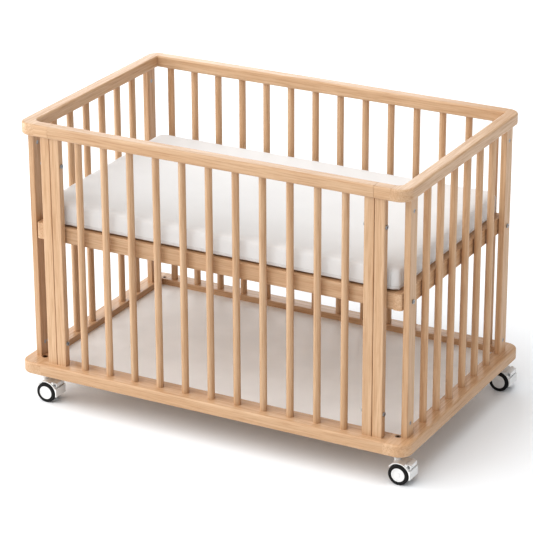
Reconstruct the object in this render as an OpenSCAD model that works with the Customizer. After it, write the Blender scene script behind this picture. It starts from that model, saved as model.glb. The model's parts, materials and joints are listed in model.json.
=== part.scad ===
// Baby crib: a barred beech box on a bottom frame with swivel casters, a white floor panel,
// and a slatted mattress base bolted between the corner posts at mid height.
// The origin is on the floor, under the middle of the crib. X runs along the crib, Y runs
// from its front to its back, and Z is up. All sizes are millimetres.

/* [Crib] */
// Outer length of the top rails
crib_length = 1000; // [980:5:1060]
// Outer depth of the top rails
crib_depth = 620; // [600:5:660]
// Height of the sides, from the bottom frame's top to the rails' top
side_height = 600; // [560:5:640]
// Height of the bottom frame's underside above the floor
ground_clearance = 80; // [76:1:90]

/* [Top rails] */
// Width of a top rail, seen from above
rail_width = 31; // [29:0.5:34]
// Height of a top rail
rail_height = 29; // [27:0.5:34]
// Radius of a top rail's long edges
rail_edge = 5; // [2:0.5:7]
// Radius of the top rails' two front corners, on their inner side
front_inner_corner = 14; // [8:1:20]

/* [Bottom frame and floor] */
// How far the bottom frame stands out beyond the top rails
bottom_overhang = 12; // [10:1:14]
// Width of the front bottom rail, seen from above
front_bottom_width = 58; // [56:1:62]
// Width of the other bottom rails, seen from above
bottom_rail_width = 43; // [42:1:46]
// Height of a bottom rail
bottom_rail_height = 30; // [28:1:36]
// Radius of the bottom frame's corners, seen from above
bottom_corner = 32; // [24:1:36]
// Depth of the floor panel below the bottom frame's top
floor_recess = 15; // [14:1:17]
// Thickness of the floor panel
floor_thickness = 6; // [4:0.5:6]

/* [Bars] */
// Diameter of a round bar
bar_d = 17; // [14:0.5:18]
// Spacing of the front bars
front_pitch = 68.6; // [62:0.1:72]
// Spacing of the back bars
back_pitch = 67.8; // [62:0.1:68]
// Spacing of the bars at each end
end_pitch = 71; // [62:0.5:76]

/* [Posts and stiles] */
// Width of a corner post, along the crib
post_width = 15; // [14:0.5:18]
// Depth of a corner post, across the crib
post_depth = 35; // [30:1:38]
// Width of a front stile
stile_width = 24.5; // [22:0.5:26]
// Depth of a front stile
stile_depth = 18; // [16:0.5:20]
// Gap between the two stiles of a pair
stile_gap = 1; // [0.5:0.5:4]

/* [Mattress and its base] */
// Height of the base's underside above the bottom frame
base_rise = 307; // [160:1:330]
// Height of a base rail
base_rail_height = 39; // [36:1:44]
// Thickness of a base rail
base_rail_thickness = 20; // [18:1:22]
// Length of the mattress
mattress_length = 930; // [880:5:930]
// Width of the mattress
mattress_width = 550; // [500:5:550]
// Thickness of the mattress
mattress_thickness = 55; // [40:1:80]

/* [Casters] */
// Diameter of a caster wheel
wheel_d = 50; // [46:1:50]
// Distance from the swivel axis to the wheel axle
trail = 11; // [11:1:16]

/* [Hidden] */
$fn = 48;

// Colours
beech = [0.87, 0.72, 0.57];
panel_white = [0.93, 0.92, 0.90];
cover_white = [0.95, 0.94, 0.92];
steel = [0.62, 0.64, 0.66];
bronzed_steel = [0.36, 0.26, 0.18];
nylon = [0.93, 0.93, 0.93];
rubber = [0.08, 0.08, 0.08];

// Clearances: round parts that turn or slide in a hole, and drilled holes round a fastener
running = 0.05;
drilled = 0.1;
cut = 1;    // how far a cutting shape runs past the face that it opens

// Heights
bottom_z = ground_clearance;
deck_z = bottom_z + bottom_rail_height;    // top of the bottom frame
top_z = deck_z + side_height;              // top of the crib
rail_z = top_z - rail_height;              // underside of the top rails
base_z = deck_z + base_rise;               // underside of the mattress base
base_top_z = base_z + base_rail_height;
base_mid_z = base_z + base_rail_height / 2;
floor_z = deck_z - floor_recess;           // top of the floor panel

// Plan of the top rails: the outer faces, the inner faces, and the line that the bars stand on
half_length = crib_length / 2;
half_depth = crib_depth / 2;
inner_x = half_length - rail_width;
inner_y = half_depth - rail_width;
line_x = half_length - rail_width / 2;
line_y = half_depth - rail_width / 2;
front_joint_x = inner_x - front_inner_corner;    // where a front return meets its end rail
hairline = 0.15;                                 // half of the fine line at a glued butt joint

// Plan of the bottom frame
bottom_x = half_length + bottom_overhang;
bottom_y = half_depth + bottom_overhang;
opening_x = bottom_x - bottom_rail_width;
back_opening_y = bottom_y - bottom_rail_width;
front_opening_y = bottom_y - front_bottom_width;    // distance in front of the middle
bottom_joint_inset = 16;
bottom_joint_x = inner_x - bottom_joint_inset;      // where an end rail meets the long rails
groove = 8;        // depth of the groove that holds the floor panel
panel_grip = 7;    // how far the floor panel reaches into the groove

// Bars: how many there are and how deep their ends are let into the rails
front_count = 11;
back_count = 14;
end_count = 6;
let_in = 12;
bar_hole_d = bar_d + drilled;

// Corner posts and front stiles
post_inset = 50;
post_y = half_depth - post_inset;
post_edge = 2;
stile_inset = 108.5;
panel_inner_x = half_length - stile_inset;           // inner edge of a panel stile
panel_outer_x = panel_inner_x + stile_width;         // outer edge of a panel stile
end_stile_x = panel_outer_x + stile_gap;             // inner edge of an end stile
end_stile_outer_x = end_stile_x + stile_width;
seam_x = panel_outer_x + stile_gap / 2;              // middle of the open seam in the front rail
seam = 0.6;                                          // width of that seam

// Fasteners
dowel_d = 8;
dowel_length = 32;
top_dowel_half_gap = 7;      // half the distance between the two dowels of a top rail's joint
base_dowel_half_gap = 11;    // the same in the mattress base
bottom_dowel_insets = [18, 9];     // distances of a bottom joint's two dowels from the outer face
bottom_dowel_heights = [9, 21];    // and from the underside
bolt_d = 6;
bolt_hole_d = 6.2;
bolt_head_d = 10;
bolt_head_height = 3;
socket_across = 4.6;         // across the corners of a hexagon socket
socket_depth = 1.8;
slot_width = 1.4;            // screwdriver slot in a barrel nut
slot_depth = 1;
barrel_nut_d = 10;
barrel_nut_end = 32;         // distance of a barrel nut from its post's end
stud_grip = 18;              // length of a stud in its rail
stud_tail = 8;               // length of a stud beyond its barrel nut's axis
stud_length = stud_grip + barrel_nut_end + stud_tail;
stile_bolt_low = deck_z + 57;
stile_bolt_high = rail_z - 67;
stile_bolt_end = 6;          // a stile bolt stops this far inside its panel stile's inner face
sleeve_d = 8;
sleeve_length = 13.5;
sleeve_floor = 5;            // solid end of a sleeved cap nut, under its head
barrel_nut_inset = 0.5;      // its end lies this far below the post's face
insert_d = 10;
insert_flange_d = 14;
insert_wall = 3;             // wood left between an insert's end and the base rail's inner face
insert_length = base_rail_thickness - insert_wall;
insert_seat = insert_length + 1;         // depth of the insert's hole
base_bolt_grip = insert_length - 2;      // length of a base bolt inside the base

// Mattress base
base_reach_x = 6;            // the base goes this far beyond the rails' inner faces, under them
base_reach_y = 2;
base_x = inner_x + base_reach_x;
base_y = inner_y + base_reach_y;
base_edge = 3;
base_corner = 8;
insert_flange = line_x - post_width / 2 - base_x;    // fills the gap between the base and a post
ledger_width = 15;
ledger_height = 20;
slat_count = 12;
slat_width = 50;
slat_thickness = 8;
slat_pitch = 74;
slat_play = 0.5;                                     // gap between a slat's end and the long rail
slat_rise = 4;                                       // the slats stand this far above the rails
slat_top_z = base_top_z + slat_rise;
mattress_corner = 24;

// Casters, in a frame with its origin on the floor under the swivel axis
caster_x = inner_x;
caster_front_y = inner_y - 4;     // distance in front of the middle
caster_back_y = inner_y + 11;
wheel_r = wheel_d / 2;
hub_r = 17;
hub_edge = 1.5;
hub_boss_r = 5;
dish_r = 13.8;
dish_depth = 0.8;
wheel_inner_y = 5;       // inner face of a wheel
wheel_outer_y = 22;      // outer face of a wheel
web_y = 4;               // half thickness of the web between the wheels
web_r = 9;
hood_y = 21;             // half width of the hood
hood_gap = 2;
hood_wall = 2.5;
hood_inner_r = wheel_r + hood_gap;
hood_outer_r = hood_inner_r + hood_wall;
hood_from = -14;         // the hood covers the wheels between these two angles
hood_to = 145;
hood_end_x = hood_outer_r + 0.5;    // outer face of the hood's upright end wall
hood_foot = -7;                     // foot and head of that wall, from the height of the axle
hood_shoulder = 14;
axle_d = 6;
axle_half = 18.5;
pin_d = 8;
neck_d = 16;
neck_sink = 8;           // the neck starts this far below the wheels' tops, inside the web and hood
neck_top_z = wheel_d + 10.5;
pin_hole_z = wheel_d + 0.5;    // floor of the neck's bore for the stem
swivel_play = 0.5;       // gaps above and below the swivelling body
pedal_angle = 55;        // direction of the pedal's pivot, seen from the wheel axle
pivot_r = hood_outer_r + 3;
pivot_pin_d = 3;
pivot_boss_r = 2.8;
lug_r = 3.4;
lug_inner_y = 17;
lug_width = 2.6;
lug_foot = 7;            // length of a lug's foot, from the pivot down to the hood
side_play = 0.2;         // the pedal's plate clears the lugs by this much on each side
pedal_y = lug_inner_y - side_play;
pedal_slope = -10;       // slope of the pedal's plate
pedal_reach = 10.6;      // from the pivot to the pedal's tip
pedal_wall = 2.2;
pedal_skirt = 8.5;       // height of the pedal's upright front wall
cam_length = 7.6;
cam_thickness = 3;
cam_angle = pedal_angle + 220;
cam_inner_y = 7;
cam_width = 5;
slot_play = 1;           // clearance of a cam in its slot through the hood

// ---- Shapes that repeat ----

// What a fillet of radius r takes off the corner of a square at the origin
module fillet_cut(r) {
    difference() {
        translate([-cut, -cut]) square(r + cut);
        translate([r, r]) circle(r);
    }
}

// Rectangle w wide and h high, with a fillet of its own on each side: low-near, low-far, high-near, high-far
module section(w, h, low_near, low_far, high_near, high_far) {
    difference() {
        square([w, h]);
        if (low_near > 0) fillet_cut(low_near);
        if (low_far > 0) translate([w, 0]) mirror([1, 0]) fillet_cut(low_far);
        if (high_near > 0) translate([0, h]) mirror([0, 1]) fillet_cut(high_near);
        if (high_far > 0) translate([w, h]) mirror([1, 0]) mirror([0, 1]) fillet_cut(high_far);
    }
}

// Runs a section along X from x0 to x1; the section's width goes along +Y from y0
module along_x(x0, x1, y0, z0) {
    translate([x0, y0, z0]) rotate([90, 0, 90]) linear_extrude(x1 - x0) children();
}

// Runs a section along Y from y0 to y1; the section's width goes along +X from x0
module along_y(y0, y1, x0, z0) {
    translate([x0, y1, z0]) rotate([90, 0, 0]) linear_extrude(y1 - y0) children();
}

// A quarter turn of a section round the vertical line through [x, y], starting at the given angle
module corner_turn(x, y, z0, start) {
    translate([x, y, z0]) rotate([0, 0, start]) rotate_extrude(angle = 90) children();
}

// Round hole or rod along X, from x0 to x1
module rod_x(x0, x1, y, z, d) {
    translate([x0, y, z]) rotate([0, 90, 0]) cylinder(h = x1 - x0, d = d);
}

// Upright round hole or rod, from z0 to z1
module rod_z(x, y, z0, z1, d) {
    translate([x, y, z0]) cylinder(h = z1 - z0, d = d);
}

module mirrored_x() { mirror([1, 0, 0]) children(); }
module mirrored_y() { mirror([0, 1, 0]) children(); }
module both_x() { for (s = [0, 1]) mirror([s, 0, 0]) children(); }
module both_y() { for (s = [0, 1]) mirror([0, s, 0]) children(); }

// Upright rods in a row along X, centred on the crib
module row_x(count, pitch, y, z0, z1, d) {
    for (i = [0 : count - 1]) rod_z((i - (count - 1) / 2) * pitch, y, z0, z1, d);
}

// Upright rods in a row along Y, centred on the crib
module row_y(count, pitch, x, z0, z1, d) {
    for (i = [0 : count - 1]) rod_z(x, (i - (count - 1) / 2) * pitch, z0, z1, d);
}

// The two dowels across an upright joint in the plane x, at y1 and y2
module dowel_pair(x, y1, y2, z1, z2, d) {
    rod_x(x - dowel_length / 2, x + dowel_length / 2, y1, z1, d);
    rod_x(x - dowel_length / 2, x + dowel_length / 2, y2, z2, d);
}

// ---- Where the fasteners go; each is drawn once as holes and once as parts ----

dowel_hole_d = dowel_d + drilled;
stile_mid_x = end_stile_x + stile_width / 2;
panel_stile_mid_x = panel_inner_x + stile_width / 2;

// Dowels in a joint of the top rails, at x on the back side
module top_joint_dowels(x, d) {
    z = rail_z + rail_height / 2;
    dowel_pair(x, line_y - top_dowel_half_gap, line_y + top_dowel_half_gap, z, z, d);
}

// Dowels between a bottom end rail and the long bottom rails
module bottom_joint_dowels(d) {
    dowel_pair(bottom_joint_x, bottom_y - bottom_dowel_insets[0], bottom_y - bottom_dowel_insets[1],
               bottom_z + bottom_dowel_heights[0], bottom_z + bottom_dowel_heights[1], d);
}

// Dowels between a base end rail and the long base rails
module base_joint_dowels(d) {
    y = base_y - base_rail_thickness / 2;
    dowel_pair(base_x - base_rail_thickness, y, y, base_mid_z - base_dowel_half_gap,
               base_mid_z + base_dowel_half_gap, d);
}

// Dowels in the ends of a stile whose middle is at x
module stile_dowels(x, d) {
    for (z = [deck_z, rail_z]) rod_z(x, -line_y, z - dowel_length / 2, z + dowel_length / 2, d);
}

// Studs at the foot and head of a corner post
module studs(d) {
    rod_z(line_x, post_y, deck_z - stud_grip, deck_z - stud_grip + stud_length, d);
    rod_z(line_x, post_y, rail_z + stud_grip - stud_length, rail_z + stud_grip, d);
}

// ---- Top rails ----

module top_section() {
    section(rail_width, rail_height, rail_edge, rail_edge, rail_edge, rail_edge);
}

inner_fillet_depth = 12;    // the inner fillet reaches this far into the rails

module right_top_rail() {
    color(beech) difference() {
        union() {
            along_y(-inner_y, inner_y, inner_x, rail_z) top_section();
            corner_turn(inner_x, inner_y, rail_z, 0) top_section();
            corner_turn(inner_x, -inner_y, rail_z, -90) top_section();
            along_x(front_joint_x, inner_x, -half_depth, rail_z) top_section();
            corner_turn(front_joint_x, front_inner_corner - inner_y, rail_z, -90)
                translate([front_inner_corner, 0])
                    section(inner_fillet_depth, rail_height, rail_edge, 0, rail_edge, 0);
        }
        row_y(end_count, end_pitch, line_x, rail_z - cut, rail_z + let_in, bar_hole_d);
        top_joint_dowels(inner_x, dowel_hole_d);
        mirrored_y() top_joint_dowels(front_joint_x, dowel_hole_d);
        both_y() studs(bolt_hole_d);
    }
}

module back_top_rail() {
    color(beech) difference() {
        along_x(hairline - inner_x, inner_x - hairline, inner_y, rail_z) top_section();
        row_x(back_count, back_pitch, line_y, rail_z - cut, rail_z + let_in, bar_hole_d);
        both_x() top_joint_dowels(inner_x, dowel_hole_d);
    }
}

module front_top_rail() {
    color(beech) difference() {
        along_x(seam / 2 - seam_x, seam_x - seam / 2, -half_depth, rail_z) top_section();
        row_x(front_count, front_pitch, -line_y, rail_z - cut, rail_z + let_in, bar_hole_d);
        both_x() stile_dowels(panel_stile_mid_x, dowel_hole_d);
    }
}

// Short piece that carries the end rail round the front corner to the seam
module right_front_return() {
    color(beech) difference() {
        along_x(seam_x + seam / 2, front_joint_x - hairline, -half_depth, rail_z) top_section();
        mirrored_y() top_joint_dowels(front_joint_x, dowel_hole_d);
        stile_dowels(stile_mid_x, dowel_hole_d);
    }
}

// ---- Posts, stiles and bars ----

module back_right_post() {
    color(beech) difference() {
        translate([line_x - post_width / 2, post_y - post_depth / 2, deck_z])
            linear_extrude(rail_z - deck_z)
                section(post_width, post_depth, post_edge, post_edge, post_edge, post_edge);
        studs(bolt_hole_d);
        barrel_nut_rods(barrel_nut_d + drilled, post_width / 2 + cut);
        rod_x(line_x - post_width, line_x + post_width, post_y, base_mid_z, bolt_hole_d);
    }
}

// Cross rods at the barrel nuts' places, reaching the given distance to each side
module barrel_nut_rods(d, reach) {
    for (z = [deck_z + barrel_nut_end, rail_z - barrel_nut_end])
        rod_x(line_x - reach, line_x + reach, post_y, z, d);
}

module stile(x) {
    translate([x, -line_y - stile_depth / 2, deck_z])
        linear_extrude(rail_z - deck_z)
            section(stile_width, stile_depth, post_edge, post_edge, post_edge, post_edge);
}

module right_panel_stile() {
    color(beech) difference() {
        stile(panel_inner_x);
        stile_dowels(panel_stile_mid_x, dowel_hole_d);
        for (z = [stile_bolt_low, stile_bolt_high]) {
            rod_x(panel_inner_x - cut, panel_outer_x + cut, -line_y, z, bolt_hole_d);
            rod_x(panel_inner_x - cut, panel_inner_x + sleeve_length, -line_y, z, sleeve_d + drilled);
        }
    }
}

module right_end_stile() {
    color(beech) difference() {
        stile(end_stile_x);
        stile_dowels(stile_mid_x, dowel_hole_d);
        for (z = [stile_bolt_low, stile_bolt_high])
            rod_x(end_stile_x - cut, end_stile_outer_x + cut, -line_y, z, bolt_hole_d);
    }
}

module front_bars() {
    color(beech) row_x(front_count, front_pitch, -line_y, deck_z - let_in, rail_z + let_in, bar_d);
}

module back_bars() {
    color(beech) row_x(back_count, back_pitch, line_y, deck_z - let_in, rail_z + let_in, bar_d);
}

module right_bars() {
    color(beech) row_y(end_count, end_pitch, line_x, deck_z - let_in, rail_z + let_in, bar_d);
}

// ---- Bottom frame and floor ----

bottom_edge = 5;          // radius of the bottom frame's outer edges
bottom_inner_edge = 2;    // radius of its top edge round the floor

// Section of the bottom frame's outer strip: its far side is the outer face
module strip_section() {
    section(bottom_corner, bottom_rail_height, 0, bottom_edge, 0, bottom_edge);
}

// Section of a whole bottom rail: its far side is the outer face
module bottom_section(width) {
    section(width, bottom_rail_height, 0, bottom_edge, bottom_inner_edge, bottom_edge);
}

// End of an end rail in the quadrant +X +Y: it turns the corner and runs on to the long rail,
// whose inner edge lies at edge_y
module bottom_turn(edge_y) {
    strip_x = bottom_x - bottom_corner;
    strip_y = bottom_y - bottom_corner;
    along_x(bottom_joint_x, opening_x, edge_y, bottom_z) bottom_section(bottom_y - edge_y);
    translate([opening_x, edge_y, bottom_z])
        cube([strip_x - opening_x, strip_y - edge_y, bottom_rail_height]);
    along_y(edge_y, strip_y, strip_x, bottom_z) strip_section();
    along_x(opening_x, strip_x, strip_y, bottom_z) strip_section();
    corner_turn(strip_x, strip_y, bottom_z, 0) strip_section();
}

module right_bottom_rail() {
    color(beech) difference() {
        union() {
            along_y(-front_opening_y, back_opening_y, opening_x, bottom_z)
                bottom_section(bottom_rail_width);
            bottom_turn(back_opening_y);
            mirrored_y() bottom_turn(front_opening_y);
        }
        translate([bottom_joint_x - cut, -front_opening_y - groove, floor_z - floor_thickness])
            cube([opening_x + groove - bottom_joint_x + cut,
                  front_opening_y + back_opening_y + 2 * groove, floor_thickness]);
        row_y(end_count, end_pitch, line_x, deck_z - let_in, deck_z + cut, bar_hole_d);
        both_y() bottom_joint_dowels(dowel_hole_d);
        both_y() studs(bolt_hole_d);
        caster_holes(caster_back_y);
        caster_holes(-caster_front_y);
    }
}

// Hole for a caster's stem from below and the seat of its flanged nut from above
module caster_holes(y) {
    rod_z(caster_x, y, bottom_z - cut, deck_z - nut_height, pin_d + 2 * drilled);
    rod_z(caster_x, y, deck_z - nut_height, deck_z + cut, nut_d + drilled);
    rod_z(caster_x, y, deck_z - nut_flange, deck_z + cut, nut_flange_d + drilled);
}

module back_bottom_rail() {
    color(beech) difference() {
        along_x(hairline - bottom_joint_x, bottom_joint_x - hairline, back_opening_y, bottom_z)
            bottom_section(bottom_rail_width);
        translate([-bottom_joint_x - cut, back_opening_y - cut, floor_z - floor_thickness])
            cube([2 * (bottom_joint_x + cut), groove + cut, floor_thickness]);
        row_x(back_count, back_pitch, line_y, deck_z - let_in, deck_z + cut, bar_hole_d);
        both_x() bottom_joint_dowels(dowel_hole_d);
    }
}

module front_bottom_rail() {
    color(beech) difference() {
        mirrored_y() along_x(hairline - bottom_joint_x, bottom_joint_x - hairline, front_opening_y,
                             bottom_z) bottom_section(front_bottom_width);
        translate([-bottom_joint_x - cut, -front_opening_y - groove, floor_z - floor_thickness])
            cube([2 * (bottom_joint_x + cut), groove + cut, floor_thickness]);
        row_x(front_count, front_pitch, -line_y, deck_z - let_in, deck_z + cut, bar_hole_d);
        both_x() mirrored_y() bottom_joint_dowels(dowel_hole_d);
        both_x() stile_dowels(panel_stile_mid_x, dowel_hole_d);
        both_x() stile_dowels(stile_mid_x, dowel_hole_d);
    }
}

module floor_panel() {
    x = opening_x + panel_grip;
    y = front_opening_y + panel_grip;
    color(panel_white) translate([-x, -y, floor_z - floor_thickness])
        cube([2 * x, y + back_opening_y + panel_grip, floor_thickness]);
}

// ---- Mattress base and mattress ----

module base_back_rail() {
    x = base_x - base_rail_thickness;
    color(beech) difference() {
        along_x(-x, x, base_y - base_rail_thickness, base_z)
            section(base_rail_thickness, base_rail_height, 0, base_edge, 0, base_edge);
        both_x() base_joint_dowels(dowel_hole_d);
    }
}

module base_right_rail() {
    color(beech) difference() {
        translate([base_x - base_rail_thickness, -base_y, base_z])
            linear_extrude(base_rail_height)
                section(base_rail_thickness, 2 * base_y, 0, base_corner, 0, base_corner);
        both_y() base_joint_dowels(dowel_hole_d);
        both_y() rod_x(base_x - insert_seat, base_x + cut, post_y, base_mid_z, insert_d + drilled);
    }
}

// Strips inside the long rails that the slats lie on
module base_ledgers() {
    x = base_x - base_rail_thickness;
    y = base_y - base_rail_thickness - ledger_width;
    color(beech) both_y()
        translate([-x, y, slat_top_z - slat_thickness - ledger_height])
            cube([2 * x, ledger_width, ledger_height]);
}

module base_slats() {
    y = base_y - base_rail_thickness - slat_play;
    color(beech) for (i = [0 : slat_count - 1])
        translate([(i - (slat_count - 1) / 2) * slat_pitch - slat_width / 2, -y,
                   slat_top_z - slat_thickness])
            cube([slat_width, 2 * y, slat_thickness]);
}

module mattress() {
    r = mattress_corner;
    color(cover_white)
        translate([-mattress_length / 2, -mattress_width / 2, slat_top_z])
            linear_extrude(mattress_thickness)
                section(mattress_length, mattress_width, r, r, r, r);
}

// ---- Fasteners ----

// Screw head along X from x, away from the middle of the crib, with a hexagon socket in its end
module socket_head(x, y, z) {
    translate([x, y, z]) rotate([0, 90, 0]) difference() {
        cylinder(h = bolt_head_height, d = bolt_head_d);
        translate([0, 0, bolt_head_height - socket_depth])
            cylinder(h = socket_depth + cut, d = socket_across, $fn = 6);
    }
}

// Bolts that hold the front panel's stiles to the end stiles
module stile_bolts() {
    color(steel) both_x() for (z = [stile_bolt_low, stile_bolt_high]) {
        rod_x(panel_inner_x + stile_bolt_end, end_stile_outer_x, -line_y, z, bolt_d);
        socket_head(end_stile_outer_x, -line_y, z);
    }
}

// Sleeved cap nuts on the inner side of the panel stiles
module stile_cap_nuts() {
    color(steel) both_x() for (z = [stile_bolt_low, stile_bolt_high]) difference() {
        union() {
            rod_x(panel_inner_x, panel_inner_x + sleeve_length, -line_y, z, sleeve_d);
            translate([panel_inner_x, 0, 0]) mirrored_x() socket_head(0, -line_y, z);
        }
        rod_x(panel_inner_x + sleeve_floor, panel_inner_x + sleeve_length + cut, -line_y, z,
              bolt_d + 2 * running);
    }
}

// Bolts through the corner posts into the mattress base
module base_bolts() {
    outer_x = line_x + post_width / 2;
    color(steel) both_x() both_y() {
        rod_x(base_x - base_bolt_grip, outer_x, post_y, base_mid_z, bolt_d);
        socket_head(outer_x, post_y, base_mid_z);
    }
}

// Flanged inserts in the base's end rails; each flange keeps the base clear of the bars
module base_inserts() {
    color(steel) both_x() both_y() difference() {
        union() {
            rod_x(base_x - insert_length, base_x, post_y, base_mid_z, insert_d);
            rod_x(base_x, base_x + insert_flange, post_y, base_mid_z, insert_flange_d);
        }
        rod_x(base_x - insert_length - cut, base_x + insert_flange + cut, post_y, base_mid_z,
              bolt_d + 2 * running);
    }
}

module post_barrel_nuts() {
    nut_end = line_x + post_width / 2 - barrel_nut_inset;
    color(steel) both_x() both_y() difference() {
        barrel_nut_rods(barrel_nut_d, post_width / 2 - barrel_nut_inset);
        studs(bolt_d + 2 * running);
        for (z = [deck_z + barrel_nut_end, rail_z - barrel_nut_end])
            translate([nut_end - slot_depth, post_y - barrel_nut_d, z - slot_width / 2])
                cube([slot_depth + cut, 2 * barrel_nut_d, slot_width]);
    }
}

module post_studs() {
    color(steel) both_x() both_y() studs(bolt_d);
}

module wood_dowels() {
    color(beech) {
        both_x() top_joint_dowels(inner_x, dowel_d);
        both_x() mirrored_y() top_joint_dowels(front_joint_x, dowel_d);
        both_x() both_y() bottom_joint_dowels(dowel_d);
        both_x() both_y() base_joint_dowels(dowel_d);
        both_x() stile_dowels(stile_mid_x, dowel_d);
        both_x() stile_dowels(panel_stile_mid_x, dowel_d);
    }
}

// ---- Casters ----

nut_d = 12;
nut_height = 14;
nut_flange_d = 14;
nut_flange = 2;
collar_d = 18;
collar_height = 3;
pin_inset = 4;           // a stem ends this far below the bottom frame's top, inside its nut

// Repeats a round part on the four swivel axes
module each_caster() {
    both_x() for (y = [-caster_front_y, caster_back_y]) translate([caster_x, y, 0]) children();
}

module caster_stems() {
    color(steel) each_caster() {
        rod_z(0, 0, pin_hole_z + swivel_play, deck_z - pin_inset, pin_d);
        rod_z(0, 0, neck_top_z + swivel_play, bottom_z - collar_height, pin_d + 2);
        rod_z(0, 0, bottom_z - collar_height, bottom_z, collar_d);
    }
}

module caster_nuts() {
    color(bronzed_steel) each_caster() difference() {
        union() {
            rod_z(0, 0, deck_z - nut_height, deck_z - nut_flange, nut_d);
            rod_z(0, 0, deck_z - nut_flange, deck_z, nut_flange_d);
        }
        rod_z(0, 0, deck_z - nut_height - cut, deck_z + cut, pin_d + 2 * running);
    }
}

// Puts a caster under the corner with the given signs
module at_corner(sx, sy) {
    translate([sx * caster_x, sy > 0 ? caster_back_y : -caster_front_y, 0]) children();
}

// Runs a shape drawn in the wheel's plane, round the axle, from y0 to y1
module across(y0, y1) {
    translate([trail, y1, wheel_r]) rotate([90, 0, 0]) linear_extrude(y1 - y0) children();
}

// Circle of radius r, kept between two angles that are under 180 degrees apart
module sector(r, from, to) {
    middle = (from + to) / 2;
    intersection() {
        circle(r);
        polygon([[0, 0], for (a = [from, (from + middle) / 2, middle, (middle + to) / 2, to])
                 2 * r * [cos(a), sin(a)]]);
    }
}

// A point at radius r and angle a from the wheel axle
function polar(r, a) = r * [cos(a), sin(a)];

// Pivot of the pedal, in the wheel's plane
pivot = polar(pivot_r, pedal_angle);

// What the cams' slots take out of the hood, seen from the side
module cam_slot() {
    difference() {
        sector(hood_outer_r + cut, pedal_angle - 20, pedal_angle + 4);
        circle(hood_inner_r - cut);
    }
}

// Hood seen from the side: a ring with an upright wall at its far end
module hood_outline() {
    sector(hood_outer_r, hood_from, hood_to);
    translate([0, hood_foot]) square([hood_end_x, hood_shoulder - hood_foot]);
}

// Swivelling body: a web between the wheels, a hood over them, the neck and the pedal's lugs
module caster_body() {
    color(nylon) difference() {
        union() {
            across(-hood_y, hood_y) hood_outline();
            across(-web_y, web_y) circle(web_r);
            rod_z(0, 0, wheel_d - neck_sink, neck_top_z, neck_d);
            for (y = [-lug_inner_y - lug_width, lug_inner_y]) across(y, y + lug_width) {
                translate(pivot) circle(lug_r);
                translate(pivot) rotate(pedal_angle - 90) translate([-lug_r, -lug_foot])
                    square([2 * lug_r, lug_foot]);
            }
        }
        for (y = [-hood_y - cut, web_y]) across(y, y + hood_y - web_y + cut) circle(hood_inner_r);
        for (y = [-cam_inner_y - cam_width - slot_play, cam_inner_y - slot_play])
            across(y, y + cam_width + 2 * slot_play) cam_slot();
        across(-hood_y - cut, hood_y + cut) circle(d = axle_d + 2 * running);
        across(-hood_y - cut, hood_y + cut) translate(pivot) circle(d = pivot_pin_d + 2 * running);
        rod_z(0, 0, pin_hole_z, neck_top_z + cut, pin_d + 2 * running);
    }
}

// Brake pedal: a plate with a front wall on a pivot pin, and two cams that reach through the hood
module caster_pedal() {
    pin_y = lug_inner_y + lug_width - side_play;
    color(nylon) {
        across(-pedal_y, pedal_y) {
            translate(pivot) circle(pivot_boss_r);
            translate(pivot) rotate(pedal_slope) translate([0, pivot_boss_r - pedal_wall])
                square([pedal_reach, pedal_wall]);
            translate(pivot + [pedal_reach - pedal_wall, -pedal_skirt]) square([pedal_wall, pedal_skirt]);
        }
        across(-pin_y, pin_y) translate(pivot) circle(d = pivot_pin_d);
        for (y = [-cam_inner_y - cam_width, cam_inner_y]) across(y, y + cam_width)
            translate(pivot) rotate(cam_angle) translate([0, -cam_thickness / 2])
                square([cam_length, cam_thickness]);
    }
}

// Section of one wheel's tyre: radius along X, width along Y
module tyre_section() {
    width = wheel_outer_y - wheel_inner_y;
    translate([hub_r, 0]) section(wheel_r - hub_r, width, 0, 3, 0, 3);
}

// Half section of one wheel's hub: a cap with a rounded rim, a shallow dish and a blind bore
module hub_section() {
    width = wheel_outer_y - wheel_inner_y;
    difference() {
        section(hub_r, width, 0, 0, 0, hub_edge);
        square([axle_d / 2 + running, axle_half - wheel_inner_y]);
        translate([hub_boss_r, width - dish_depth]) square([dish_r - hub_boss_r, dish_depth + cut]);
    }
}

// Puts a wheel's section on both sides of the web
module wheel_pair() {
    for (s = [0, 1]) mirror([0, s, 0])
        translate([trail, wheel_inner_y, wheel_r]) rotate([-90, 0, 0]) rotate_extrude() children();
}

module caster_tyres() { color(rubber) wheel_pair() tyre_section(); }
module caster_hubs() { color(nylon) wheel_pair() hub_section(); }
module caster_axle() { color(steel) across(-axle_half, axle_half) circle(d = axle_d); }

// ---- The nodes ----

mirrored_x() right_top_rail();  // left_top_rail
right_top_rail();
back_top_rail();
front_top_rail();
mirrored_x() right_front_return();  // left_front_return
right_front_return();
mirrored_x() mirrored_y() back_right_post();  // front_left_post
mirrored_y() back_right_post();  // front_right_post
mirrored_x() back_right_post();  // back_left_post
back_right_post();
mirrored_x() right_panel_stile();  // left_panel_stile
right_panel_stile();
mirrored_x() right_end_stile();  // left_end_stile
right_end_stile();
front_bars();
back_bars();
mirrored_x() right_bars();  // left_bars
right_bars();
mirrored_x() right_bottom_rail();  // left_bottom_rail
right_bottom_rail();
front_bottom_rail();
back_bottom_rail();
floor_panel();
mirrored_y() base_back_rail();  // base_front_rail
base_back_rail();
mirrored_x() base_right_rail();  // base_left_rail
base_right_rail();
base_ledgers();
base_slats();
mattress();
stile_bolts();
stile_cap_nuts();
base_bolts();
base_inserts();
post_barrel_nuts();
post_studs();
wood_dowels();
caster_stems();
caster_nuts();
at_corner(-1, -1) caster_body();  // caster_body_fl
at_corner(-1, -1) caster_hubs();  // caster_hubs_fl
at_corner(-1, -1) caster_tyres();  // caster_tyres_fl
at_corner(-1, -1) caster_axle();  // caster_axle_fl
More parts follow.
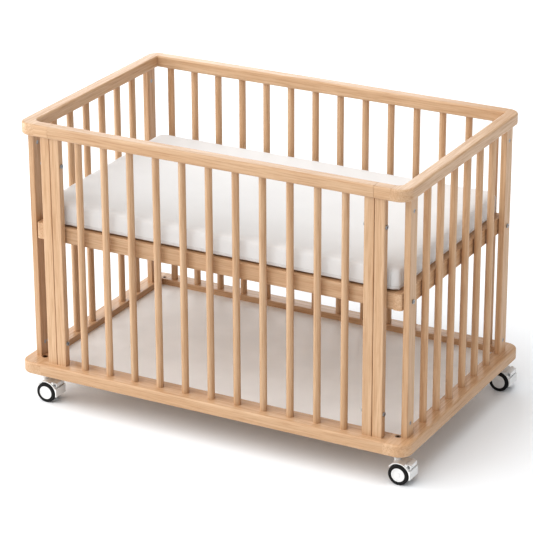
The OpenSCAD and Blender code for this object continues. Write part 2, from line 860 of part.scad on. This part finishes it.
at_corner(-1, -1) caster_pedal();  // caster_pedal_fl
at_corner(1, -1) caster_body();  // caster_body_fr
at_corner(1, -1) caster_hubs();  // caster_hubs_fr
at_corner(1, -1) caster_tyres();  // caster_tyres_fr
at_corner(1, -1) caster_axle();  // caster_axle_fr
at_corner(1, -1) caster_pedal();  // caster_pedal_fr
at_corner(-1, 1) caster_body();  // caster_body_bl
at_corner(-1, 1) caster_hubs();  // caster_hubs_bl
at_corner(-1, 1) caster_tyres();  // caster_tyres_bl
at_corner(-1, 1) caster_axle();  // caster_axle_bl
at_corner(-1, 1) caster_pedal();  // caster_pedal_bl
at_corner(1, 1) caster_body();  // caster_body_br
at_corner(1, 1) caster_hubs();  // caster_hubs_br
at_corner(1, 1) caster_tyres();  // caster_tyres_br
at_corner(1, 1) caster_axle();  // caster_axle_br
at_corner(1, 1) caster_pedal();  // caster_pedal_br
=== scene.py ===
"""Looks for the baby crib: materials for its CAD pieces, a sewn mattress, floor, light and camera."""
import json
import math

import bmesh
import bpy
from mathutils import Matrix, Vector, noise


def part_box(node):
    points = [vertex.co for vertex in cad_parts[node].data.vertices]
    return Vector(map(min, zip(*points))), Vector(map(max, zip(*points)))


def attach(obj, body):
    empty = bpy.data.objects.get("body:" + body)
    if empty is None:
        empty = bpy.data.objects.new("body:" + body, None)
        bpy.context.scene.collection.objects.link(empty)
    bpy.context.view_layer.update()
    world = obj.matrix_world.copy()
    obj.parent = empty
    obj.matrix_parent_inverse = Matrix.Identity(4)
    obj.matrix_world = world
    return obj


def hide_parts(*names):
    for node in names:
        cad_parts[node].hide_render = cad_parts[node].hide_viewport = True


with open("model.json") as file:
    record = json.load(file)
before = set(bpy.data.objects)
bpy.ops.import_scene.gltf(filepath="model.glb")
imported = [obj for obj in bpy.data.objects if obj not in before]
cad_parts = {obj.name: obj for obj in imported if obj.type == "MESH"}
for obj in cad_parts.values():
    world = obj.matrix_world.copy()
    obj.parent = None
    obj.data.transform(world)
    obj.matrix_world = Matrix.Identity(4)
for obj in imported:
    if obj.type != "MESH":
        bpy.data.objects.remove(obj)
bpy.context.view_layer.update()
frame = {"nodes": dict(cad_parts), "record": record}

NODES = frame["nodes"]

# ---- Camera, in metres and degrees ----
CAMERA_PLACE = (2.633, -4.897, 2.594)
CAMERA_AZIMUTH = 28.38
CAMERA_ELEVATION = 22.13
CAMERA_ROLL = -0.23
CAMERA_LENS_MM = 170.6
SENSOR_MM = 36.0

# ---- Wood: which way the grain of each member runs ----
GRAIN_ALONG = {
    "X": ["back_top_rail", "front_top_rail", "left_front_return", "right_front_return", "front_bottom_rail",
          "back_bottom_rail", "base_front_rail", "base_back_rail", "base_ledgers", "wood_dowels"],
    "Y": ["left_top_rail", "right_top_rail", "left_bottom_rail", "right_bottom_rail", "base_left_rail",
          "base_right_rail", "base_slats"],
    "Z": ["front_left_post", "front_right_post", "back_left_post", "back_right_post", "left_panel_stile",
          "right_panel_stile", "left_end_stile", "right_end_stile", "front_bars", "back_bars", "left_bars",
          "right_bars"],
}
GRAIN_STRETCH = 0.032           # scale of the grain's pattern along the member, against 1 across it
GRAIN_RINGS = 13.0              # growth rings from the low end of the growth noise to its high end
STREAK_SHARE = 0.44             # how far streaks, late wood and flecks go towards the dark colour
LATE_WOOD_SHARE = 0.14
FLECK_SHARE = 0.24
BOARD_STEP = Vector((3.7, 5.3, 7.9))   # from one board to the next in the noise, in metres
BAR_STEP = (1.9, 2.3, 2.9)      # the most that bars of one row lie apart in the noise, in metres
BOARD_TONE_LOW = 0.95           # boards are this bright or up to BOARD_TONE_SPREAD brighter
BOARD_TONE_SPREAD = 0.10
TONE_TURN = 0.618               # spreads the boards' tones evenly, whatever their number
BAR_TONE_LOW = 0.965
BAR_TONE_HIGH = 1.035

# ---- Colours, as linear red, green and blue. A noise blends the two of a pair ----
BEECH_LIGHT = (0.645, 0.445, 0.285)
BEECH_MIDDLE = (0.560, 0.350, 0.202)
BEECH_DARK = (0.34, 0.160, 0.060)
HARDBOARD_BROWN = (0.42, 0.28, 0.18)
FOIL_WHITE = ((0.86, 0.855, 0.845), (0.90, 0.895, 0.885))
NYLON_WHITE = ((0.80, 0.80, 0.795), (0.84, 0.84, 0.835))
TYRE_BLACK = ((0.006, 0.006, 0.006), (0.012, 0.011, 0.011))
ZINC = ((0.30, 0.32, 0.34), (0.42, 0.43, 0.44))
BRONZE = ((0.15, 0.085, 0.045), (0.21, 0.125, 0.07))
COVER_COTTON = ((0.765, 0.76, 0.755), (0.74, 0.735, 0.73))
SEAM_COTTON = ((0.70, 0.69, 0.675), (0.67, 0.66, 0.645))

# ---- Mattress, in metres ----
THREAD_PITCH = 0.0011
COVER_GROWTH = 0.0005           # the cover's sides start this far outside its CAD block, and swell
COVER_DROP = 0.002              # its top starts this far below the block's top
PLAN_CORNER = 0.020
CORNER_CLOSING = 0.9            # how much of an inset comes off the plan's corner radius
TOP_EDGE = 0.014
BOTTOM_EDGE = 0.003
EDGE_STEPS = 5
CORNER_STEPS = 6
VOXEL = 0.0065
SWELL_LIMIT = 0.0022            # farthest that the simulation may move a point
SWELL_FRAMES = 20
TOP_SHARE = 0.9                 # above this share of the height a point belongs to the top
BOTTOM_SHARE = 0.08             # and below this one to the bottom
BOTTOM_GAP = 0.0002             # from the CAD block's bottom up to the cover's flat bottom
HEM_HEIGHT = 0.009
CORNER_SEAM = 0.021             # distance of a corner's upright seams from the corner
SEAM_RADIUS = 0.0009
SEAM_SIDES = 6
SEAM_END = 0.35                 # upright seams end this share of the top edge's radius below the top
SEAM_POINTS = 13                # up each upright seam
HEM_STEP = 0.02                 # about the run between two points of the hem's straight parts
HEM_CORNER_STEPS = 10
SEAM_START = 0.03               # from this far outside the cover, seams are carried in onto it
SIDE_LIMIT = Vector((0.468, 0.278))    # the cover stays inside the top rails when it is lifted out

# ---- Light: a very soft sun, an even sky, a low softbox on the left and one behind, to catch the tops ----
SUN_FROM = (-0.24, -0.46, 0.86)
SUN_STRENGTH = 2.05
SUN_SOFTNESS = 70.0             # degrees across
SKY_STRENGTH = 0.46
SOFTBOX_AIM = (0.0, 0.0, 0.3)
SOFTBOXES = {
    "left_softbox": {"place": (-3.3, -1.3, 0.85), "size": 1.5, "power": 44.0},
    "back_softbox": {"place": (-2.5, 4.4, 2.3), "size": 2.0, "power": 33.0},
}
FLOOR_WHITE = (0.885, 0.905, 0.925)
FLOOR_GLOW = 0.05
FLOOR_REACH = 40.0              # metres from the crib to each edge of the floor


# ---------------------------------------------------------------- shader helpers

MIX_COLOUR_A, MIX_COLOUR_B = 6, 7      # a Mix node's sockets for colours
MIX_COLOUR_RESULT = 2


class Shader:
    """A material with short calls for the nodes that it needs."""

    def __init__(self, name):
        self.material = bpy.data.materials.new(name)
        self.material.use_nodes = True
        self.tree = self.material.node_tree
        self.tree.nodes.clear()
        self.surface = self.tree.nodes.new("ShaderNodeBsdfPrincipled")
        output = self.tree.nodes.new("ShaderNodeOutputMaterial")
        self.join(self.surface.outputs["BSDF"], output.inputs["Surface"])

    def join(self, source, target):
        self.tree.links.new(source, target)

    def feed(self, socket, value):
        """Sets a socket to a value, or links it when the value is another node's output."""
        if isinstance(value, bpy.types.NodeSocket):
            self.join(value, socket)
        elif isinstance(value, (int, float)):
            socket.default_value = value
        elif len(value) == 3 and socket.type == "RGBA":
            socket.default_value = (*value, 1.0)
        else:
            socket.default_value = value

    def place(self):
        """Object coordinates, which are the crib's own frame in metres."""
        return self.tree.nodes.new("ShaderNodeTexCoord").outputs["Object"]

    def vector(self, operation, a, b):
        node = self.tree.nodes.new("ShaderNodeVectorMath")
        node.operation = operation
        self.feed(node.inputs[0], a)
        self.feed(node.inputs[1], b)
        return node.outputs[0]

    def math(self, operation, a, b=0.0):
        node = self.tree.nodes.new("ShaderNodeMath")
        node.operation = operation
        self.feed(node.inputs[0], a)
        self.feed(node.inputs[1], b)
        return node.outputs[0]

    def noise(self, vector, scale, detail=2.0, roughness=0.5, distortion=0.0):
        node = self.tree.nodes.new("ShaderNodeTexNoise")
        self.feed(node.inputs["Vector"], vector)
        self.feed(node.inputs["Scale"], scale)
        self.feed(node.inputs["Detail"], detail)
        self.feed(node.inputs["Roughness"], roughness)
        self.feed(node.inputs["Distortion"], distortion)
        return node.outputs["Fac"]

    def span(self, value, low, high, to_low=0.0, to_high=1.0):
        """Maps low..high to to_low..to_high, with soft ends."""
        node = self.tree.nodes.new("ShaderNodeMapRange")
        node.interpolation_type = "SMOOTHSTEP"
        self.feed(node.inputs["Value"], value)
        self.feed(node.inputs["From Min"], low)
        self.feed(node.inputs["From Max"], high)
        self.feed(node.inputs["To Min"], to_low)
        self.feed(node.inputs["To Max"], to_high)
        return node.outputs["Result"]

    def mix(self, share, a, b):
        node = self.tree.nodes.new("ShaderNodeMix")
        node.data_type = "RGBA"
        self.feed(node.inputs["Factor"], share)
        self.feed(node.inputs[MIX_COLOUR_A], a)
        self.feed(node.inputs[MIX_COLOUR_B], b)
        return node.outputs[MIX_COLOUR_RESULT]

    def axes(self, vector):
        node = self.tree.nodes.new("ShaderNodeSeparateXYZ")
        self.feed(node.inputs[0], vector)
        return node.outputs

    def bump(self, height, distance, strength, normal=None):
        node = self.tree.nodes.new("ShaderNodeBump")
        self.feed(node.inputs["Height"], height)
        self.feed(node.inputs["Distance"], distance)
        self.feed(node.inputs["Strength"], strength)
        if normal is not None:
            self.join(normal, node.inputs["Normal"])
        return node.outputs["Normal"]

    def soft_edges(self, radius):
        """A normal that rounds the sharp edges of a moulded piece."""
        node = self.tree.nodes.new("ShaderNodeBevel")
        node.samples = 4
        self.feed(node.inputs["Radius"], radius)
        return node.outputs["Normal"]

    def finish(self, **values):
        """Sets the surface's own sockets, by name with underscores for spaces."""
        for name, value in values.items():
            self.feed(self.surface.inputs[name.replace("_", " ")], value)
        return self.material


# ---------------------------------------------------------------- materials

def beech(name, along, number):
    """Lacquered beech whose grain runs along one axis. The number gives each piece its own board.

    In a row of round bars each bar also gets its own grain and tone. A bar's side is one island of the
    mesh. Other pieces have several islands that must match, so they don't use them.
    """
    shader = Shader(name)
    stretch = [GRAIN_STRETCH if axis == along else 1.0 for axis in "XYZ"]
    board_tone = BOARD_TONE_LOW + BOARD_TONE_SPREAD * ((number * TONE_TURN) % 1.0)
    tone = (board_tone, board_tone, board_tone)
    shifted = shader.vector("ADD", shader.place(), tuple(BOARD_STEP * number))
    grain = shader.vector("MULTIPLY", shifted, stretch)
    if name.endswith("_bars"):
        island = shader.tree.nodes.new("ShaderNodeNewGeometry").outputs["Random Per Island"]
        grain = shader.vector("ADD", grain, shader.vector("MULTIPLY", island, BAR_STEP))
        bar_tone = shader.span(island, 0.0, 1.0, BAR_TONE_LOW, BAR_TONE_HIGH)
        tone = shader.math("MULTIPLY", bar_tone, board_tone)
    growth = shader.noise(grain, scale=22.0, detail=1.5, roughness=0.4, distortion=0.25)
    ring = shader.math("FRACT", shader.math("MULTIPLY", growth, GRAIN_RINGS))
    late_wood = shader.math("MULTIPLY", shader.span(ring, 0.35, 0.88), shader.span(ring, 1.0, 0.93))
    streak = shader.noise(grain, scale=320.0, detail=5.0, roughness=0.62)
    broad = shader.noise(grain, scale=45.0, detail=3.0, roughness=0.5)
    fleck = shader.span(shader.noise(grain, scale=1150.0, detail=2.0, roughness=0.5), 0.60, 0.70)

    colour = shader.mix(shader.span(broad, 0.25, 0.75), BEECH_LIGHT, BEECH_MIDDLE)
    colour = shader.mix(shader.span(streak, 0.42, 0.70, 0.0, STREAK_SHARE), colour, BEECH_DARK)
    colour = shader.mix(shader.math("MULTIPLY", late_wood, LATE_WOOD_SHARE), colour, BEECH_DARK)
    colour = shader.mix(shader.math("MULTIPLY", fleck, FLECK_SHARE), colour, BEECH_DARK)
    colour = shader.vector("MULTIPLY", colour, tone)

    height = shader.math("ADD", shader.math("MULTIPLY", streak, 0.7), shader.math("MULTIPLY", fleck, -0.3))
    return shader.finish(
        Base_Color=colour,
        Roughness=shader.span(streak, 0.3, 0.7, 0.40, 0.54),
        Normal=shader.bump(height, distance=0.0002, strength=0.28),
        Specular_IOR_Level=0.36,
        Coat_Weight=0.22,
        Coat_Roughness=0.18,
    )


def white_board():
    """Matt white foil on the top of brown hardboard, with the faint print of the fibres."""
    shader = Shader("white_board")
    place = shader.place()
    facing = shader.axes(shader.tree.nodes.new("ShaderNodeNewGeometry").outputs["Normal"])[2]
    cloud = shader.noise(place, scale=9.0, detail=3.0)
    fibre = shader.noise(place, scale=900.0, detail=3.0, roughness=0.6)
    colour = shader.mix(shader.span(cloud, 0.35, 0.65), *FOIL_WHITE)
    colour = shader.mix(shader.math("GREATER_THAN", facing, 0.5), HARDBOARD_BROWN, colour)
    return shader.finish(
        Base_Color=colour,
        Roughness=shader.span(fibre, 0.3, 0.7, 0.46, 0.58),
        Normal=shader.bump(fibre, distance=0.0001, strength=0.18),
    )


def woven_cotton(name, light, shade):
    """Plain woven cotton. Crossed waves in the crib's frame make a weave on every side."""
    shader = Shader(name)
    place = shader.place()
    waves = [shader.math("SINE", shader.math("MULTIPLY", axis, 2 * math.pi / THREAD_PITCH))
             for axis in shader.axes(place)]
    crossed = shader.math("ADD", shader.math("ADD", waves[0], waves[1]), waves[2])
    weave = shader.math("MULTIPLY", crossed, 0.33)
    slub = shader.noise(place, scale=520.0, detail=3.0, roughness=0.6)
    cloud = shader.noise(place, scale=7.0, detail=3.0, roughness=0.5)
    colour = shader.mix(shader.span(cloud, 0.3, 0.7), light, shade)
    slub_colour = [0.93 * part for part in shade]
    colour = shader.mix(shader.span(slub, 0.45, 0.75, 0.0, 0.18), colour, slub_colour)
    height = shader.math("ADD", shader.math("MULTIPLY", weave, 0.5), slub)
    return shader.finish(
        Base_Color=colour,
        Roughness=shader.span(slub, 0.3, 0.7, 0.80, 0.92),
        Normal=shader.bump(height, distance=0.0003, strength=0.30),
        Sheen_Weight=0.05,
        Sheen_Roughness=0.5,
    )


def plated_steel(name, dark, light):
    """Plated steel with fine turning marks."""
    shader = Shader(name)
    fine = shader.noise(shader.place(), scale=1400.0, detail=3.0, roughness=0.6)
    colour = shader.mix(shader.span(fine, 0.3, 0.7), dark, light)
    return shader.finish(
        Base_Color=colour,
        Metallic=1.0,
        Roughness=shader.span(fine, 0.3, 0.7, 0.30, 0.42),
        Normal=shader.bump(fine, distance=0.0001, strength=0.12),
    )


def white_nylon():
    """Moulded white nylon with a fine satin skin and rounded edges."""
    shader = Shader("white_nylon")
    skin = shader.noise(shader.place(), scale=1100.0, detail=2.0, roughness=0.5)
    cloud = shader.noise(shader.place(), scale=60.0, detail=2.0, roughness=0.5)
    colour = shader.mix(shader.span(cloud, 0.3, 0.7), *NYLON_WHITE)
    return shader.finish(
        Base_Color=colour,
        Roughness=shader.span(skin, 0.3, 0.7, 0.28, 0.38),
        Normal=shader.bump(skin, distance=0.0001, strength=0.08, normal=shader.soft_edges(0.0007)),
        Coat_Weight=0.1,
        Coat_Roughness=0.2,
    )


def black_rubber():
    """Black tyre rubber with a matt, slightly dusty skin."""
    shader = Shader("black_rubber")
    skin = shader.noise(shader.place(), scale=900.0, detail=4.0, roughness=0.6)
    colour = shader.mix(shader.span(skin, 0.3, 0.7), *TYRE_BLACK)
    return shader.finish(
        Base_Color=colour,
        Roughness=shader.span(skin, 0.3, 0.7, 0.55, 0.68),
        Specular_IOR_Level=0.3,
        Normal=shader.bump(skin, distance=0.0001, strength=0.25, normal=shader.soft_edges(0.0005)),
    )


def assign(node, material):
    """Gives a CAD node one material."""
    data = NODES[node].data
    data.materials.clear()
    data.materials.append(material)


def dress_cad_nodes():
    """Gives every CAD node its material. The mattress gets a sewn cover instead."""
    number = 0
    for along, members in GRAIN_ALONG.items():
        for member in members:
            number += 1
            assign(member, beech("beech_" + member, along, number))
    assign("floor_panel", white_board())
    finishes = {
        "zinc_steel": plated_steel("zinc_steel", *ZINC),
        "bronzed_steel": plated_steel("bronzed_steel", *BRONZE),
        "white_nylon": white_nylon(),
        "black_tyre": black_rubber(),
    }
    for part in frame["record"]["subparts"]:
        if part["material_slot"] in finishes:
            assign(part["node"], finishes[part["material_slot"]])


# ---------------------------------------------------------------- mattress

def plan_outline(half_x, half_y, corner, steps):
    """Points round a rounded rectangle, starting at its right side and going anticlockwise."""
    points = []
    for quarter in range(4):
        side_x = 1 if quarter in (0, 3) else -1
        side_y = 1 if quarter in (0, 1) else -1
        centre = Vector((side_x * (half_x - corner), side_y * (half_y - corner)))
        for step in range(steps + 1):
            angle = (quarter + step / steps) * math.pi / 2
            points.append(centre + corner * Vector((math.cos(angle), math.sin(angle))))
    return points


def mattress_block(low, high):
    """A closed block with rounded corners and edges, built from rings between its bottom and its top."""
    rings = []
    for radius, start, upwards in ((BOTTOM_EDGE, low.z, 1), (TOP_EDGE, high.z, -1)):
        edge = []
        for step in range(EDGE_STEPS + 1):
            angle = step / EDGE_STEPS * math.pi / 2
            edge.append((radius * (1 - math.sin(angle)), start + upwards * radius * (1 - math.cos(angle))))
        rings += edge if upwards > 0 else reversed(edge)
    mesh = bmesh.new()
    loops = []
    for inset, z in rings:
        corner = PLAN_CORNER - inset * CORNER_CLOSING
        outline = plan_outline(high.x - inset, high.y - inset, corner, CORNER_STEPS)
        loops.append([mesh.verts.new((point.x, point.y, z)) for point in outline])
    for below, above in zip(loops, loops[1:]):
        for i in range(len(below)):
            j = (i + 1) % len(below)
            mesh.faces.new((below[i], below[j], above[j], above[i]))
    mesh.faces.new(list(reversed(loops[0])))
    mesh.faces.new(loops[-1])
    data = bpy.data.meshes.new("mattress_cover")
    mesh.to_mesh(data)
    mesh.free()
    piece = bpy.data.objects.new("mattress_cover", data)
    bpy.context.scene.collection.objects.link(piece)
    return piece


def apply_modifiers(piece):
    """Replaces the piece's mesh with what its modifiers make of it."""
    graph = bpy.context.evaluated_depsgraph_get()
    result = bpy.data.meshes.new_from_object(piece.evaluated_get(graph))
    piece.modifiers.clear()
    old = piece.data
    piece.data = result
    bpy.data.meshes.remove(old)


def remesh(piece, voxel):
    """Gives the piece even, small faces, which the cloth simulation needs."""
    modifier = piece.modifiers.new("remesh", "REMESH")
    modifier.mode = "VOXEL"
    modifier.voxel_size = voxel
    apply_modifiers(piece)


def inflate(piece, limit):
    """Swells the piece as pressed cloth, and lets no point move farther than the limit."""
    start = [vertex.co.copy() for vertex in piece.data.vertices]
    cloth = piece.modifiers.new("cloth", "CLOTH")
    settings = cloth.settings
    settings.use_pressure = True
    settings.uniform_pressure_force = 4.0
    settings.effector_weights.gravity = 0.0
    settings.quality = 4
    settings.mass = 0.3
    settings.tension_stiffness = 18.0
    settings.compression_stiffness = 18.0
    settings.bending_stiffness = 1.2
    scene = bpy.context.scene
    for number in range(1, SWELL_FRAMES + 1):
        scene.frame_set(number)
    apply_modifiers(piece)
    scene.frame_set(1)
    for vertex, before in zip(piece.data.vertices, start):
        move = vertex.co - before
        if move.length > limit:
            move *= limit / move.length
        vertex.co = before + move


def settle(piece, low, high):
    """Adds soft hollows to the top, presses the bottom flat, and keeps the sides within their limit."""
    for vertex in piece.data.vertices:
        point = vertex.co
        rise = (point.z - low.z) / (high.z - low.z)
        broad_sway = noise.noise(point * 5.0) * 0.0014
        small_sway = noise.noise(point * 16.0 + Vector((9, 4, 2))) * 0.0006
        if rise > TOP_SHARE:
            point.z += broad_sway + small_sway
        elif rise < BOTTOM_SHARE:
            point.z = low.z + BOTTOM_GAP
        point.x = min(max(point.x, -SIDE_LIMIT.x), SIDE_LIMIT.x)
        point.y = min(max(point.y, -SIDE_LIMIT.y), SIDE_LIMIT.y)


def smooth(piece):
    """Subdivides the piece once and shades it smooth."""
    modifier = piece.modifiers.new("subdivide", "SUBSURF")
    modifier.levels = 1
    modifier.render_levels = 1
    apply_modifiers(piece)
    for polygon in piece.data.polygons:
        polygon.use_smooth = True


def seam(name, piece, path, closed):
    """A thin raised seam along a path of outside points, each carried inwards onto the cover."""
    points = []
    for outside, inward in path:
        hit, place, _, _ = piece.ray_cast(outside, inward)
        if hit:
            points.append(place)
    mesh = bmesh.new()
    rings = []
    count = len(points)
    for i, point in enumerate(points):
        before = points[(i - 1) % count] if closed or i > 0 else point
        after = points[(i + 1) % count] if closed or i < count - 1 else point
        run = (after - before).normalized()
        across = run.cross(Vector((0, 0, 1)) if abs(run.z) < 0.7 else Vector((1, 0, 0))).normalized()
        up = run.cross(across)
        ring = []
        for side in range(SEAM_SIDES):
            turn = 2 * math.pi * side / SEAM_SIDES
            spoke = math.cos(turn) * across + math.sin(turn) * up
            ring.append(mesh.verts.new(point + SEAM_RADIUS * spoke))
        rings.append(ring)
    pairs = list(zip(rings, rings[1:]))
    if closed:
        pairs.append((rings[-1], rings[0]))
    for first, second in pairs:
        for i in range(SEAM_SIDES):
            j = (i + 1) % SEAM_SIDES
            mesh.faces.new((first[i], first[j], second[j], second[i]))
    if not closed:
        mesh.faces.new(list(reversed(rings[0])))
        mesh.faces.new(rings[-1])
    data = bpy.data.meshes.new(name)
    mesh.to_mesh(data)
    mesh.free()
    for polygon in data.polygons:
        polygon.use_smooth = True
    thread = bpy.data.objects.new(name, data)
    bpy.context.scene.collection.objects.link(thread)
    return thread


def mattress_seams(piece, low, high):
    """A hem near the bottom edge, and two upright seams at each corner."""
    start_x = high.x + SEAM_START
    start_y = high.y + SEAM_START
    hem = []
    outline = plan_outline(start_x, start_y, PLAN_CORNER + SEAM_START, HEM_CORNER_STEPS)
    count = len(outline)
    for i, point in enumerate(outline):
        following = outline[(i + 1) % count]
        length = (following - point).length
        pieces = max(1, int(length / HEM_STEP))
        for k in range(pieces):
            spot = point.lerp(following, k / pieces)
            core = Vector((min(max(spot.x, PLAN_CORNER - high.x), high.x - PLAN_CORNER),
                           min(max(spot.y, PLAN_CORNER - high.y), high.y - PLAN_CORNER)))
            inward = (core - spot).normalized()
            hem.append((Vector((spot.x, spot.y, low.z + HEM_HEIGHT)), Vector((inward.x, inward.y, 0))))
    threads = [seam("mattress_hem", piece, hem, True)]
    top = high.z - SEAM_END * TOP_EDGE
    heights = [low.z + HEM_HEIGHT + (top - low.z - HEM_HEIGHT) * k / (SEAM_POINTS - 1)
               for k in range(SEAM_POINTS)]
    for sx in (-1, 1):
        for sy in (-1, 1):
            long_side = [(Vector((sx * (high.x - CORNER_SEAM), sy * start_y, z)), Vector((0, -sy, 0)))
                         for z in heights]
            end_side = [(Vector((sx * start_x, sy * (high.y - CORNER_SEAM), z)), Vector((-sx, 0, 0)))
                        for z in heights]
            corner = ("right" if sx > 0 else "left") + ("_back" if sy > 0 else "_front")
            threads.append(seam("mattress_seam_long_" + corner, piece, long_side, False))
            threads.append(seam("mattress_seam_end_" + corner, piece, end_side, False))
    return threads


def make_mattress(cotton, thread):
    """The sewn mattress, which stands in for the CAD block."""
    low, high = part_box("mattress")
    growth = Vector((COVER_GROWTH, COVER_GROWTH, 0))
    low = low - growth
    high = high + growth - Vector((0, 0, COVER_DROP))
    piece = mattress_block(low, high)
    remesh(piece, VOXEL)
    inflate(piece, SWELL_LIMIT)
    settle(piece, low, high)
    smooth(piece)
    piece.data.materials.append(cotton)
    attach(piece, "mattress")
    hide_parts("mattress")
    for strand in mattress_seams(piece, low, high):
        strand.data.materials.append(thread)
        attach(strand, "mattress")


# ---------------------------------------------------------------- stage, light and camera

def make_floor():
    data = bpy.data.meshes.new("floor")
    corners = [(x * FLOOR_REACH, y * FLOOR_REACH, 0.0) for x, y in ((-1, -1), (1, -1), (1, 1), (-1, 1))]
    data.from_pydata(corners, [], [(0, 1, 2, 3)])
    floor = bpy.data.objects.new("floor", data)
    bpy.context.scene.collection.objects.link(floor)
    shader = Shader("studio_floor")
    data.materials.append(shader.finish(
        Base_Color=FLOOR_WHITE,
        Roughness=0.7,
        Specular_IOR_Level=0.2,
        Emission_Color=(1.0, 1.0, 1.0),
        Emission_Strength=FLOOR_GLOW,
    ))


def make_light():
    world = bpy.data.worlds.new("studio")
    world.use_nodes = True
    background = world.node_tree.nodes["Background"]
    background.inputs["Color"].default_value = (1.0, 1.0, 1.0, 1.0)
    background.inputs["Strength"].default_value = SKY_STRENGTH
    bpy.context.scene.world = world
    sun = bpy.data.lights.new("sun", "SUN")
    sun.energy = SUN_STRENGTH
    sun.angle = math.radians(SUN_SOFTNESS)
    lamp = bpy.data.objects.new("sun", sun)
    lamp.rotation_euler = Vector(SUN_FROM).to_track_quat("Z", "Y").to_euler()
    bpy.context.scene.collection.objects.link(lamp)
    for name, softbox in SOFTBOXES.items():
        light = bpy.data.lights.new(name, "AREA")
        light.size = softbox["size"]
        light.energy = softbox["power"]
        box = bpy.data.objects.new(name, light)
        box.location = softbox["place"]
        away = Vector(softbox["place"]) - Vector(SOFTBOX_AIM)
        box.rotation_euler = away.to_track_quat("Z", "Y").to_euler()
        bpy.context.scene.collection.objects.link(box)


def make_camera():
    data = bpy.data.cameras.new("camera")
    data.lens = CAMERA_LENS_MM
    data.sensor_width = SENSOR_MM
    camera = bpy.data.objects.new("camera", data)
    turn = Matrix.Rotation(math.radians(CAMERA_AZIMUTH), 4, "Z")
    tilt = Matrix.Rotation(math.radians(90 - CAMERA_ELEVATION), 4, "X")
    roll = Matrix.Rotation(math.radians(CAMERA_ROLL), 4, "Z")
    camera.matrix_world = Matrix.Translation(CAMERA_PLACE) @ turn @ tilt @ roll
    bpy.context.scene.collection.objects.link(camera)
    bpy.context.scene.camera = camera


# ---------------------------------------------------------------- the scene

dress_cad_nodes()
make_mattress(woven_cotton("cotton_cover", *COVER_COTTON), woven_cotton("cotton_seam", *SEAM_COTTON))
make_floor()
make_light()
make_camera()
bpy.context.scene.view_settings.view_transform = "Standard"
bpy.context.scene.view_settings.look = "Medium High Contrast"
